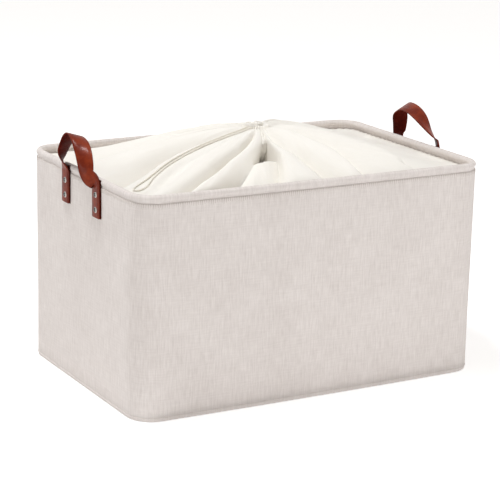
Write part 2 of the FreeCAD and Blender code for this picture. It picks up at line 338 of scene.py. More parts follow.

# %% [markdown]
# Leather: the grain is a cell pattern with soft lines between the cells, over slower
# patches where the dye is lighter. The Edge input darkens the colour, but no material
# here sets it, so it stays at 0; the strap's cut sides have a material of their own.

# %% Leather group
grain, start, end = effect(
    "leather grain",
    [("Vector", VEC, None), ("Leather Colour", COL, (0.3, 0.1, 0.05, 1)),
     ("Worn Colour", COL, (0.4, 0.2, 0.1, 1)), ("Edge", NUM, 0.0),
     ("Grain Size", NUM, 0.0011)],
    [("Color", COL), ("Roughness", NUM), ("Height", NUM)])
vector = start.outputs["Vector"]
cells = add(grain, "ShaderNodeTexVoronoi", {"feature": "DISTANCE_TO_EDGE"}, {"Randomness": 1.0})
grain.links.new(vector, cells.inputs["Vector"])
grain.links.new(sums(grain, "DIVIDE", 1.0, start.outputs["Grain Size"]), cells.inputs["Scale"])
lines = add(grain, "ShaderNodeMapRange", values={"From Max": 0.12})
grain.links.new(cells.outputs["Distance"], lines.inputs["Value"])
dye = cloudy(grain, vector, 55.0, 4.0, 0.6)
dye_share = add(grain, "ShaderNodeMapRange", values={"From Min": 0.42, "From Max": 0.75})
grain.links.new(dye, dye_share.inputs["Value"])
toned = mixed(grain, dye_share.outputs[0], start.outputs["Leather Colour"],
              start.outputs["Worn Colour"])
toned = mixed(grain, sums(grain, "MULTIPLY", start.outputs["Edge"], 0.7), toned,
              (0.018, 0.006, 0.004, 1))
grain.links.new(toned, end.inputs["Color"])
rough = sums(grain, "ADD", sums(grain, "MULTIPLY", dye, 0.22), 0.24)
grain.links.new(rough, end.inputs["Roughness"])
grain.links.new(sums(grain, "ADD", sums(grain, "MULTIPLY", lines.outputs[0], 0.5),
                     sums(grain, "MULTIPLY", dye, 0.8)), end.inputs["Height"])
print("leather grain:", len(grain.nodes), "nodes")

# %% [markdown]
# Metal, felt and board share one idea: fine noise that roughens and tints the surface.
# The group takes two colours and the size of the marks.

# %% Fibre and wear group
wear, start, end = effect(
    "fine marks",
    [("Vector", VEC, None), ("Colour A", COL, (0.5, 0.5, 0.5, 1)),
     ("Colour B", COL, (0.6, 0.6, 0.6, 1)), ("Mark Size", NUM, 0.001),
     ("Smoothest", NUM, 0.3), ("Roughest", NUM, 0.6)],
    [("Color", COL), ("Roughness", NUM), ("Height", NUM)])
vector = start.outputs["Vector"]
fine = add(wear, "ShaderNodeTexNoise", values={"Detail": 4.0, "Roughness": 0.65})
wear.links.new(vector, fine.inputs["Vector"])
wear.links.new(sums(wear, "DIVIDE", 1.0, start.outputs["Mark Size"]), fine.inputs["Scale"])
broad = cloudy(wear, vector, 60.0, 2.0, 0.5)
blend_share = sums(wear, "ADD", sums(wear, "MULTIPLY", fine.outputs["Fac"], 0.7),
                   sums(wear, "MULTIPLY", broad, 0.3))
spread = add(wear, "ShaderNodeMapRange", values={"From Min": 0.35, "From Max": 0.65})
wear.links.new(blend_share, spread.inputs["Value"])
wear.links.new(mixed(wear, spread.outputs[0], start.outputs["Colour A"],
                     start.outputs["Colour B"]), end.inputs["Color"])
rough = add(wear, "ShaderNodeMapRange")
wear.links.new(spread.outputs[0], rough.inputs["Value"])
wear.links.new(start.outputs["Smoothest"], rough.inputs["To Min"])
wear.links.new(start.outputs["Roughest"], rough.inputs["To Max"])
wear.links.new(rough.outputs["Result"], end.inputs["Roughness"])
wear.links.new(fine.outputs["Fac"], end.inputs["Height"])
print("fine marks:", len(wear.nodes), "nodes")


# %% [markdown]
# ## Materials
# Each material is one Principled BSDF fed by a group. Values that are the same all
# over the surface, such as sheen or metalness, are set on the shader itself.

# %% Material maker
def finish(name, group, values, bump, fixed, uv=None):
    """Material from an effect group; bump is a height in metres and a strength."""
    material = bpy.data.materials.new(name)
    material.use_nodes = True
    tree = material.node_tree
    shader = tree.nodes["Principled BSDF"]
    for key, value in fixed.items():
        shader.inputs[key].default_value = value
    used = add(tree, "ShaderNodeGroup")
    used.node_tree = group
    for key, value in values.items():
        used.inputs[key].default_value = value
    if uv:
        place = add(tree, "ShaderNodeUVMap", {"uv_map": uv})
        tree.links.new(place.outputs["UV"], used.inputs["Vector"])
    else:
        place = add(tree, "ShaderNodeTexCoord")
        tree.links.new(place.outputs["Object"], used.inputs["Vector"])
    tree.links.new(used.outputs["Color"], shader.inputs["Base Color"])
    tree.links.new(used.outputs["Roughness"], shader.inputs["Roughness"])
    raised = add(tree, "ShaderNodeBump", values={"Distance": bump[0], "Strength": bump[1]})
    tree.links.new(used.outputs["Height"], raised.inputs["Height"])
    tree.links.new(raised.outputs["Normal"], shader.inputs["Normal"])
    return material


def shade(red, green, blue):
    """Linear colour from the values that a colour picker shows, 0 to 255."""
    return tuple(((c / 255 + 0.055) / 1.055) ** 2.4 if c > 10 else c / 3294.6
                 for c in (red, green, blue)) + (1,)


print("white cloth is", [round(c, 3) for c in shade(240, 238, 232)])

# %% Cloth materials
linen = finish("linen-look cloth", weave,
               {"Thread Colour": shade(238, 231, 227), "Gap Colour": shade(210, 201, 196),
                "Thread Pitch": 0.0009, "Slub": 0.55},
               (0.0003, 0.6), {"Sheen Weight": 0.12, "Sheen Roughness": 0.5}, "cloth")
cotton = finish("white cotton", weave,
                {"Thread Colour": shade(250, 248, 243), "Gap Colour": shade(244, 239, 230),
                 "Thread Pitch": 0.0005, "Slub": 0.22},
                (0.00015, 0.4), {"Sheen Weight": 0.1, "Sheen Roughness": 0.5}, "cloth")
lining_cloth = finish("lining cloth", weave,
                      {"Thread Colour": shade(238, 234, 226), "Gap Colour": shade(222, 216, 206),
                       "Thread Pitch": 0.0006, "Slub": 0.3},
                      (0.0002, 0.4), {"Sheen Weight": 0.1}, "cloth")
felt = finish("felted core", wear,
              {"Colour A": shade(196, 192, 186), "Colour B": shade(222, 219, 214),
               "Mark Size": 0.002, "Smoothest": 0.85, "Roughest": 1.0},
              (0.0005, 0.6), {"Sheen Weight": 0.2})
cord_cotton = finish("cotton cord", wear,
                     {"Colour A": shade(232, 226, 212), "Colour B": shade(248, 245, 237),
                      "Mark Size": 0.0012, "Smoothest": 0.75, "Roughest": 0.95},
                     (0.0004, 0.7), {"Sheen Weight": 0.1})
thread = finish("sewing thread", wear,
                {"Colour A": shade(192, 182, 174), "Colour B": shade(214, 205, 198),
                 "Mark Size": 0.0008, "Smoothest": 0.55, "Roughest": 0.8},
                (0.0002, 0.5), {"Sheen Weight": 0.1})
cord.data.materials.append(cord_cotton)
print("cloth materials made")

# %% Leather, metal and board materials
leather = finish("cognac leather", grain,
                 {"Leather Colour": shade(108, 33, 11), "Worn Colour": shade(146, 57, 25),
                  "Grain Size": 0.0012},
                 (0.0002, 0.35), {"Specular IOR Level": 0.06, "Coat Weight": 0.1,
                                 "Coat Roughness": 0.16})
# The strap's underside and the backing tabs get a dark brown that is partly the leather's own
# colour and partly painted shade, for faces turned away from the light.
underside_painted_shade = finish("leather underside and painted shade", grain,
                    {"Leather Colour": shade(66, 13, 6), "Worn Colour": shade(92, 24, 12),
                     "Grain Size": 0.0009},
                    (0.0003, 0.5), {"Specular IOR Level": 0.03})
cut_edge = finish("leather edge", grain,
                  {"Leather Colour": shade(96, 33, 20), "Worn Colour": shade(128, 50, 30),
                   "Grain Size": 0.0007},
                  (0.0002, 0.5), {"Specular IOR Level": 0.06})
nickel = finish("nickel plate", wear,
                {"Colour A": (0.045, 0.041, 0.038, 1), "Colour B": (0.09, 0.083, 0.077, 1),
                 "Mark Size": 0.0012, "Smoothest": 0.16, "Roughest": 0.26},
                (0.00003, 0.3), {"Metallic": 1.0})
steel = finish("drawn steel", wear,
               {"Colour A": (0.42, 0.42, 0.42, 1), "Colour B": (0.56, 0.56, 0.55, 1),
                "Mark Size": 0.0016, "Smoothest": 0.3, "Roughest": 0.5},
               (0.00004, 0.3), {"Metallic": 1.0})
board = finish("grey board", wear,
               {"Colour A": shade(150, 140, 126), "Colour B": shade(176, 167, 152),
                "Mark Size": 0.003, "Smoothest": 0.8, "Roughest": 0.95},
               (0.0002, 0.5), {"Metallic": 0.0})
print("materials:", len(bpy.data.materials))

# %% [markdown]
# The rivets' plating is dark on the crown of each dome, and a painted reflection makes
# it bright round its edge. The surface's own direction tells the two apart: a crown faces
# straight out from the end wall, along X, and an edge leans away. A texture mask would do
# the same, but it would need a UV map on every rivet.

# %% Painted reflection on the rivets' edges
plating = nickel.node_tree
faces = add(plating, "ShaderNodeTexCoord")
split = add(plating, "ShaderNodeSeparateXYZ")
plating.links.new(faces.outputs["Normal"], split.inputs[0])
# painted reflection: 1 where the dome's face leans away from X, 0 on its crown
painted_edge_reflection = add(plating, "ShaderNodeMapRange", values={"From Min": 0.84, "From Max": 0.66})
plating.links.new(sums(plating, "ABSOLUTE", split.outputs["X"], 0.0), painted_edge_reflection.inputs["Value"])
# the pale colour mixed in here is the painted reflection round each dome's edge
plating.links.new(mixed(plating, painted_edge_reflection.outputs[0], plating.nodes["Group"].outputs["Color"],
                        (0.40, 0.385, 0.365, 1)),
                  plating.nodes["Principled BSDF"].inputs["Base Color"])
print("rivet plating:", len(plating.nodes), "nodes")

# %% [markdown]
# ## Walking round the bin
# Walls, rim, piping and closure all go round the same rounded rectangle. One helper
# gives a point on that outline and its outward direction, and another extrudes a ring
# of edges row after row to make a skin. Bevelling a box would give the same outline,
# but extruding rings also makes rims, folds and hems. The long walls bow out a few
# millimetres between the corners, as filled cloth walls do.

# %% Outline
def outline(share, half_x, half_y, radius):
    """Point at a share of the way round a rounded rectangle, and its outward direction."""
    flat_x, flat_y = half_x - radius, half_y - radius
    arc = math.pi * radius / 2
    walked = (share % 1.0) * 4 * (flat_x + flat_y + arc)
    for quarter in range(4):
        along, reach = (flat_y, flat_x) if quarter % 2 == 0 else (flat_x, flat_y)
        if walked <= 2 * along:
            out, side, lean = reach + radius, walked - along, 0.0
            break
        walked -= 2 * along
        if walked <= arc:
            lean = walked / radius
            out, side = reach + radius * math.cos(lean), along + radius * math.sin(lean)
            break
        walked -= arc
    turn = quarter * math.pi / 2
    c, s = math.cos(turn), math.sin(turn)
    return (out * c - side * s, out * s + side * c,
            math.cos(turn + lean), math.sin(turn + lean))


def bow(x, toward_y, z):
    """How far a long wall stands out of flat, between its corners."""
    between = max(0.0, 1 - (x / (HALF_X - CORNER)) ** 2)
    return 0.003 * between * abs(toward_y) * (0.75 + 0.6 * math.sin(math.pi * z / RIM_TOP))


def at_wall(share, inset, z):
    """Point in from the outer face of the wall."""
    x, y, out_x, out_y = outline(share, HALF_X, HALF_Y, CORNER)
    out = bow(x, out_y, z) - inset
    return Vector((x + out_x * out, y + out_y * out, z))


def ease(value, low, high):
    """0 below low, 1 above high, smooth between."""
    share = min(1.0, max(0.0, (value - low) / (high - low)))
    return share * share * (3 - 2 * share)


ROUND = 4 * (HALF_X + HALF_Y - 2 * CORNER) + 2 * math.pi * CORNER
print("once round the bin: %.3f m" % ROUND)


# %% Skins that go round
def wrap(stations, rows, place, closed=False):
    """Ring of edges extruded row after row; place(share, row) says where each goes."""
    bm = bmesh.new()
    station = bm.verts.layers.int.new("station")
    level = bm.verts.layers.int.new("row")
    bmesh.ops.create_circle(bm, cap_ends=False, segments=stations, radius=1)
    for count, vert in enumerate(bm.verts):
        vert[station] = count
        vert.co = place(count / stations, 0)
    first = ring = bm.edges[:]
    for row in range(1, rows):
        made = bmesh.ops.extrude_edge_only(bm, edges=ring)["geom"]
        verts = {g for g in made if isinstance(g, bmesh.types.BMVert)}
        ring = [g for g in made
                if isinstance(g, bmesh.types.BMEdge) and verts.issuperset(g.verts)]
        for vert in verts:
            vert[level] = row
            vert.co = place(vert[station] / stations, row)
    if closed:
        bmesh.ops.bridge_loops(bm, edges=first + ring)
    lay_out(bm, stations, rows, place)
    return bm


def lay_out(bm, stations, rows, place):
    """UV map in metres: round the bin, and along the rows."""
    station, level = bm.verts.layers.int["station"], bm.verts.layers.int["row"]
    spots = [place(0.31, row) for row in range(rows)] + [place(0.31, 0)]
    along = [0.0]
    for a, b in zip(spots, spots[1:]):
        along.append(along[-1] + (b - a).length)
    uv = bm.loops.layers.uv.new("cloth")
    for face in bm.faces:
        turns = [vert[station] for vert in face.verts]
        steps = [vert[level] for vert in face.verts]
        far_turn = max(turns) - min(turns) > stations / 2
        far_step = rows > 3 and max(steps) - min(steps) == rows - 1
        for corner in face.loops:
            turn, step = corner.vert[station], corner.vert[level]
            if far_turn and turn < stations / 2:
                turn += stations
            if far_step and step == 0:
                step = rows
            corner[uv].uv = (ROUND * turn / stations, along[step])


print("wrap() is ready")


# %% Turning a bmesh into a piece
def piece(bm, name, materials, body, replaced=(), outward=None, smooth=True):
    """Object at the origin from a bmesh; outward 1 or -1 turns an open skin's faces."""
    bmesh.ops.recalc_face_normals(bm, faces=bm.faces)
    if outward:
        bm.normal_update()
        facing = sum(f.normal.x * f.calc_center_median().x + f.normal.y * f.calc_center_median().y
                     for f in bm.faces)
        if facing * outward < 0:
            bmesh.ops.reverse_faces(bm, faces=bm.faces)
    for face in bm.faces:
        face.smooth = smooth
    mesh = bpy.data.meshes.new(name)
    bm.to_mesh(mesh)
    bm.free()
    for material in materials:
        mesh.materials.append(material)
    made = bpy.data.objects.new(name, mesh)
    scene.collection.objects.link(made)
    if body:
        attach(made, body)
    if replaced:
        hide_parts(*replaced)
    print("%s: %d faces" % (name, len(mesh.polygons)))
    return made


def thicken(made, thickness):
    """Solidify towards the back of the faces."""
    shell = made.modifiers.new("thickness", "SOLIDIFY")
    shell.thickness, shell.offset = thickness, -1
    return made


# %% [markdown]
# ## Walls
# Three sheets stand one inside the other: the outer cloth, the felted core that makes
# the wall stiff, and the lining. Each is a skin with its real thickness from a
# Solidify modifier, which keeps the sheets from touching. The outer cloth has faint
# waves between the weave and the core, where the cloth isn't stuck down flat.

# %% Wall sheets
def wall_sheet(name, material, inset, thickness, low, high, node, ripple=0.0):
    rows = 26

    def place(share, row):
        z = low + (high - low) * (1 - (1 - row / (rows - 1)) ** 1.5)
        pulled = 0.0005 * ease(z, RIM_TOP - 0.0165, high) if inset == 0 else 0.0
        spot = at_wall(share, inset + pulled, z)
        wave = noise.noise(Vector((spot.x * 7, spot.y * 7, z * 5))) * ripple
        hold = math.sin(math.pi * row / (rows - 1)) ** 0.5
        x, y, out_x, out_y = outline(share, HALF_X, HALF_Y, CORNER)
        return spot + Vector((out_x, out_y, 0)) * wave * hold

    made = piece(wrap(320, rows, place), name, [material], "bin", [node], outward=1)
    return thicken(made, thickness)


outer = wall_sheet("outer_cloth", linen, 0.0, 0.0010, 0.0062, RIM_TOP - 0.0125,
                   "outer_wall", 0.0007)
core = wall_sheet("felt_core", felt, 0.00205, 0.0011, 0.0012, WALL_TOP - 0.0005,
                  "wall_interlining")
lining = wall_sheet("wall_lining", lining_cloth, 0.0033, 0.0007, 0.0040, WALL_TOP - 0.0005,
                    "inner_lining")

# %% [markdown]
# ## Base
# The bottom panel turns up a few millimetres round the wall and is joined to it by a
# thin piping. A stiff board lies on it, under a loose lining that sags a little
# between its edges. The panel is a skin of rings from the edge to near the middle,
# and the middle is one flat face.

# %% Bottom panel
PANEL = [(0.0000, 0.0040), (0.0000, 0.0032), (0.0003, 0.0016), (0.0009, 0.0007),
         (0.0018, 0.0002), (0.0030, 0.0001), (0.0200, 0.0001), (0.0200, 0.0012),
         (0.0030, 0.0011), (0.0014, 0.0020), (0.0012, 0.0040)]
bm = wrap(240, len(PANEL), lambda share, row: at_wall(share, *PANEL[row]), closed=True)
bottom = piece(bm, "bottom_cloth_edge", [linen], "bin", ["bottom_panel"])

# %% Flat sheets with cut corners
def flat_sheet(cells, inset, corner_inset):
    """Grid inside the walls, without the points that fall outside the round corners."""
    bm = bmesh.new()
    bmesh.ops.create_grid(bm, x_segments=cells[0], y_segments=cells[1], size=1)
    for vert in bm.verts:
        vert.co = Vector((vert.co.x * (HALF_X - inset[0]), vert.co.y * (HALF_Y - inset[1]), 0.0))
    outside = [v for v in bm.verts
               if math.hypot(max(0, abs(v.co.x) - HALF_X + CORNER),
                             max(0, abs(v.co.y) - HALF_Y + CORNER)) > CORNER - corner_inset]
    bmesh.ops.delete(bm, geom=outside, context="VERTS")
    uv = bm.loops.layers.uv.new("cloth")
    for face in bm.faces:
        for loop in face.loops:
            loop[uv].uv = loop.vert.co.xy
    return bm


# %% Bottom panel, middle
bm = flat_sheet((46, 30), (0.0195, 0.0175), 0.0185)
for vert in bm.verts:
    vert.co.z = 0.0007 + 0.0001 * noise.noise(vert.co * 9)
middle = thicken(piece(bm, "bottom_cloth", [linen], "bin"), 0.0010)
middle.modifiers["thickness"].offset = 0


# %% Piping
def rod_rows(inset, z, radius, count):
    """Rows of a round rod that goes round the bin."""
    return [(inset + radius * math.cos(2 * math.pi * i / count),
             z + radius * math.sin(2 * math.pi * i / count)) for i in range(count)]


ROD = rod_rows(0.0004, 0.0051, 0.0010, 10)


def piping_place(share, row):
    twist = 0.00012 * math.sin(2 * math.pi * share * 480)
    inset, z = ROD[row]
    return at_wall(share, inset - twist, z)


piece(wrap(960, len(ROD), piping_place, closed=True), "bottom_piping", [linen],
      "bin", ["bottom_welt"])

# %% Floor lining
bm = flat_sheet((60, 40), (0.0042, 0.0042), 0.004)
for vert in bm.verts:
    puff = 0.0005 + 0.0006 * noise.noise(vert.co * 11)
    vert.co.z = 0.0043 + max(0.0, puff)
floor_lining = thicken(piece(bm, "floor_lining", [lining_cloth], "bin",
                             ["bottom_lining"]), 0.0005)

# %% [markdown]
# ## Rim
# The mouth is bound with a strip of the same cloth, rolled round the steel wire and
# sewn down each side of the wall. The rolled cloth puckers a little between stitches,
# and the sewn strip shows short upright stitches all the way round. The binding is one
# closed skin; the stitches are one piece made of a small capped tube, copied along
# the strip.

# %% Binding
ROLL = [(0.0014, 0.3272), (0.0011, 0.3280)]
for step in range(14):
    angle = math.radians(232 - step * 262 / 13)
    tall = 0.0056 if math.sin(angle) < 0 else ROLL_R
    ROLL.append((ROLL_INSET + ROLL_R * math.cos(angle), ROLL_Z + tall * math.sin(angle)))
ROLL += [(0.0050, 0.3300), (0.0047, 0.3285), (0.0047, 0.3255), (0.0047, 0.3225),
         (0.0046, 0.3210), (0.0041, 0.3210), (0.0041, 0.3300), (0.0022, 0.3302),
         (0.0019, 0.3276)]
STITCH = 0.0035
STITCHES = round(ROUND / STITCH)


def roll_place(share, row):
    inset, z = ROLL[row]
    pucker = 0.0
    if 0 < row < 16:
        spot = Vector((share * 210, row * 0.25, 0))
        pucker = 0.0005 * noise.noise(spot) + 0.0005 * noise.noise(spot * 0.33)
    return at_wall(share, inset - pucker, z)


piece(wrap(2200, len(ROLL), roll_place, closed=True), "rim_cloth", [linen],
      "bin", ["rim_binding"])

# %% Stitches
def stitch_at(bm, share, low, high, out, radius):
    """One upright stitch: a small tube whose ends dive into the cloth."""
    x, y, out_x, out_y = outline(share, HALF_X, HALF_Y, CORNER)
    side = Vector((-out_y, out_x, 0))
    facing = Vector((out_x, out_y, 0))
    bm_verts = bmesh.ops.create_cone(bm, cap_ends=True, segments=5, radius1=radius,
                                     radius2=radius, depth=high - low)["verts"]
    lean = 0.00035 * math.sin(share * 977.0)
    centre = at_wall(share, -out, (low + high) / 2)
    for vert in bm_verts:
        up = vert.co.z
        dive = 0.0005 if abs(up) > (high - low) * 0.45 else 0.0
        vert.co = (centre + side * (vert.co.x + lean * up / (high - low) * 2)
                   + facing * (vert.co.y - dive) + Vector((0, 0, up)))


bm = bmesh.new()
for count in range(STITCHES):
    long = 0.006 + 0.004 * noise.noise(Vector((count * 0.37, 0, 0)))
    stitch_at(bm, (count + 0.5) / STITCHES, 0.3270 - long, 0.3270, 0.00015, 0.00055)
piece(bm, "rim_stitches", [thread], "bin")

# %% [markdown]
# ## Gathered closure
# The cotton closure is a sleeve sewn inside the rim, and its free edge is a casing
# that the cord draws together over the middle of the bin. The slack cloth falls into
# folds that fan out from the cinch. Cloth simulation could gather it, but its folds
# would fall where they like, so the folds are listed one by one: each crease is
# given by its direction from the cinch at five places between the seam and the hem,
# and the cloth rises in a round between one crease and the next. Near the cinch the
# creases crowd together, so their depth shrinks with the room between them.

# %% Creases
# Directions in degrees at the seam, 1/4, 1/2, 3/4 and at the hem; depth of the crease,
# height of the fold after it (mm), where its crest is and how far it leans over (mm).
CREASES = [
    ((-168, -170.5, -176, -174, -170), 40.0, 2.0, 0.45, -2),
    ((-149.5, -152, -157, -153, -146), 4.0, 2.0, 0.50, 0),
    ((-144, -142.5, -138.5, -131.5, -120), 27.0, 10.0, 0.36, 10),
    ((-133, -130, -122.5, -109.5, -103), 25.0, -16.5, 0.50, 0),
    ((-113, -107.5, -101.5, -104.0, -101), 23.0, 9.0, 0.42, -10),
    ((-75.8, -75.2, -76, -93, -88), 22.0, 9.0, 0.60, 3),
    ((-64, -57.5, -48, -40, -36), 22.0, 6.0, 0.80, 2),
    ((-43, -38, -27, -16, -10), 18.0, -2.0, 0.50, 0),
    ((-8, -6, -4, 2, 8), 4.0, 3.0, 0.50, 1),
    ((8, 8, 9, 15, 22), 5.0, 4.0, 0.45, 1),
    ((22, 22, 24, 31, 38), 6.0, 4.0, 0.50, -1),
    ((34, 36, 41, 49, 57), 8.0, 6.0, 0.60, 1),
    ((48, 52, 58, 66, 75), 10.0, 7.0, 0.50, 2),
    ((66, 68, 74, 82, 91), 11.0, 8.0, 0.40, -3),
    ((84, 86, 90, 97, 105), 12.0, 8.0, 0.55, 3),
    ((101, 103, 106, 112, 119), 10.0, 7.0, 0.50, 1),
    ((117, 119, 122, 127, 133), 11.0, 7.0, 0.45, -3),
    ((133, 134, 136, 140, 146), 8.0, 5.0, 0.50, 1),
    ((146, 146, 147, 151, 157), 6.0, 4.0, 0.50, 1),
    ((160, 160, 161, 165, 171), 5.0, 13.0, 0.32, 0),
]
PLACES = (0, 0.25, 0.5, 0.75, 1)
print(len(CREASES), "creases")


# %% Height of the folds
def folded(angle, share, reach):
    """Rise of the cloth (m) and its sideways lean (m) at a direction and share inward."""
    lines = [np.interp(share, PLACES, c[0]) for c in CREASES]
    while angle < lines[0]:
        angle += 360
    index = max(i for i, line in enumerate(lines) if line <= angle)
    after = (index + 1) % len(CREASES)
    left, right = lines[index], lines[after] + (360 if after == 0 else 0)
    here = (angle - left) / (right - left)
    _, depth, height, crest, lean = CREASES[index]
    next_depth = CREASES[after][1]
    bent = 0.5 * here / crest if here < crest else 0.5 + 0.5 * (here - crest) / (1 - crest)
    room = 1000 * reach * math.radians(right - left)
    limit = min(1.0, 0.6 * room / (max(depth, next_depth) + abs(height) + 1))
    low = -(depth * (1 - here) + next_depth * here)
    arch = 1 - abs(2 * bent - 1) ** 2.1
    rise = (low + (height - low) * arch) * limit
    grow = 0.30 + 0.70 * ease(share, 0.0, 0.16)
    return 0.001 * rise * grow, 0.001 * lean * arch ** 2 * limit * grow


print("rise 30 degrees right of the front: %.1f mm" % (1000 * folded(-60, 0.5, 0.13)[0]))

# %% Closure skin
HEM_RING = 0.015
CASING = [(0.0197, -0.0012), (0.0192, 0.0008), (0.0180, 0.0024), (0.0163, 0.0032),
          (0.0144, 0.0032), (0.0126, 0.0022), (0.0112, -0.0002), (0.0102, -0.0035),
          (0.0085, -0.0075), (0.0062, -0.0125), (0.0035, -0.0170)]
INWARD = 64
COVER_STATIONS = 600


def hill(share, inward):
    """Plain hill under the folds, from the seam to the cinch."""
    half_x = (HALF_X - 0.0052) + inward * (HEM_RING - HALF_X + 0.0052)
    half_y = (HALF_Y - 0.0052) + inward * (HEM_RING - HALF_Y + 0.0052)
    radius = (CORNER - 0.0052) * (1 - inward) + HEM_RING * 0.9 * inward
    x, y, out_x, out_y = outline(share, half_x, half_y, radius)
    full = 1 - (1 - inward) ** 1.15
    slack = inward * inward * (3 - 2 * inward)
    front = math.exp(-((math.degrees(math.atan2(y, x)) + 98) / 52) ** 4)
    z = SEAM_Z + (CROWN_Z - SEAM_Z) * (full * front + slack * (1 - front))
    out = bow(x, out_y, SEAM_Z) * (1 - inward) ** 2
    return Vector((x, y + math.copysign(out, y), z))


def pit(angle, inward):
    """Hollow between two folds at the cinch: how far the cloth drops and tucks under."""
    left, right = (np.interp(inward, PLACES, CREASES[i][0]) for i in (3, 4))
    away = (angle - (left + right) / 2) / (0.5 * (right - left) + 2.5)
    across = math.exp(-away ** 4)
    drop = 0.033 * across * ease(inward, 0.53, 0.57) * (1 - ease(inward, 0.72, 0.79))
    under = ease(inward, 0.56, 0.63) * (1 - ease(inward, 0.71, 0.77))
    return drop, -0.036 * across * under


CORD_BED = KDTree(21 * 11 * 5)
BED_HEIGHTS = []
for i in range(len(CORD_ROUTE) // 2 - 1):
    ends = [Vector(CORD_ROUTE[k]) for k in (i, i + 1, -1 - i, -2 - i)]
    for step in range(21):
        there, back_again = (ends[0].lerp(ends[1], step / 21), ends[2].lerp(ends[3], step / 21))
        for across in range(5):
            spot = there.lerp(back_again, across / 4)
            CORD_BED.insert((spot.x, spot.y, 0), len(BED_HEIGHTS))
            BED_HEIGHTS.append(spot.z - CORD_R - 0.0004)
CORD_BED.balance()


def under_cord(spot):
    """The cloth rises to a ridge that carries the cord."""
    _, index, far = CORD_BED.find((spot.x, spot.y, 0))
    pull = math.exp(-(max(0.0, far - 0.002) / 0.011) ** 2)
    return spot.z + pull * (BED_HEIGHTS[index] - spot.z)


def cover_place(share, row):
    if row < INWARD:
        inward = 0.955 * (row / (INWARD - 1)) ** 0.92
        spot = hill(share, inward)
        reach = math.hypot(spot.x, spot.y)
        angle = math.degrees(math.atan2(spot.y, spot.x))
        rise, lean = folded(angle, inward, reach)
        turn = math.radians(angle)
        crumple = 0.0016 * noise.noise(Vector((math.cos(turn) * 9, math.sin(turn) * 9, reach * 9)))
        fine = 0.0007 * noise.noise(Vector((math.cos(turn) * 40, math.sin(turn) * 40, reach * 14)))
        gather = 0.0008 * math.sin(share * 2 * math.pi * 150) * (1 - ease(inward, 0.0, 0.09))
        pleat = 0.0012 * math.sin(26 * turn + 2 * math.sin(3 * turn)) * ease(inward, 0.86, 0.955)
        settle = ease(inward, 0.0, 0.06) * (1 - ease(inward, 0.93, 0.955))
        drop, out = pit(angle, inward)
        spot.z += (rise + (crumple + fine)) * settle + gather + pleat - drop
        spot += Vector((math.cos(turn), math.sin(turn), 0)) * out
        spot += Vector((-math.sin(turn), math.cos(turn), 0)) * lean * settle
        spot.z = under_cord(spot)
        return spot
    out, up = CASING[row - INWARD]
    spot = hill(share, 0.955)
    turn = math.atan2(spot.y, spot.x)
    inside = (row - INWARD) / (len(CASING) - 1)
    pleats = math.sin(26 * turn + 2 * math.sin(3 * turn))
    out *= 1 + 0.10 * pleats * (1 + inside)
    up += 0.0010 * pleats * (1 - inside) + 0.0006 * math.sin(5 * turn)
    swirl = turn + 0.5 * inside * inside
    return Vector((math.cos(swirl) * out, math.sin(swirl) * out, CROWN_Z + up))


bm = wrap(COVER_STATIONS, INWARD + len(CASING), cover_place)
last = [e for e in bm.edges if e.is_boundary and e.verts[0].co.xy.length < 0.01]
bmesh.ops.holes_fill(bm, edges=last, sides=0)
cover = piece(bm, "gathered_closure", [cotton], "bin", ["closure_cover"])
if cover.data.polygons[COVER_STATIONS * 5].normal.z < 0:
    cover.data.flip_normals()
thicken(cover, 0.0008)
area = sum(p.area for p in cover.data.polygons)
print("closure cloth: %.3f square metres as it lies" % area)

# %% Cord over the cloth
surface = BVHTree.FromPolygons([v.co for v in cover.data.vertices],
                               [p.vertices for p in cover.data.polygons])
heights = []
for place in CORD_ROUTE:
    found = surface.ray_cast(Vector((place[0], place[1], 0.45)), Vector((0, 0, -1)))[0]
    heights.append(round(1000 * (place[2] - CORD_R - found.z), 1) if found else None)
print("cord above the cloth (mm):", heights)

# %% [markdown]
# ## Handles
# Each handle is one leather strap: two legs that lie flat on the end wall under the
# rivets, and an arch between them that twists as it rises. The strap is a rounded
# section swept along a smooth line through a few places, with a turn given at each.
# It bends at the crease above the rivets, so it is one mesh, and it is not attached
# to any body.

# %% Smooth line through places
def slopes(knots, values, ends=None):
    """Slopes of the smoothest curve through values; ends fixes the first and last."""
    count = len(knots)
    gaps = np.diff(knots)
    rises = np.diff(values, axis=0) / gaps[:, None]
    left = np.zeros((count, count))
    right = np.zeros((count, values.shape[1]))
    for i in range(1, count - 1):
        left[i, i - 1 : i + 2] = (1 / gaps[i - 1], 2 / gaps[i - 1] + 2 / gaps[i], 1 / gaps[i])
        right[i] = 3 * (rises[i - 1] / gaps[i - 1] + rises[i] / gaps[i])
    if ends is None:
        left[0, :2], left[-1, -2:] = (2, 1), (1, 2)
        right[0], right[-1] = 3 * rises[0], 3 * rises[-1]
    else:
        left[0, 0] = left[-1, -1] = 1
        right[0], right[-1] = ends
    return np.linalg.solve(left, right)


def between(knots, values, slope, u):
    """Value of that curve at u."""
    i = min(len(knots) - 2, max(0, int(np.searchsorted(knots, u, side="right")) - 1))
    h = knots[i + 1] - knots[i]
    s = (u - knots[i]) / h
    return ((2 * s ** 3 - 3 * s ** 2 + 1) * values[i] + (s ** 3 - 2 * s ** 2 + s) * h * slope[i]
            + (3 * s ** 2 - 2 * s ** 3) * values[i + 1] + (s ** 3 - s ** 2) * h * slope[i + 1])


print("smooth line helpers ready")

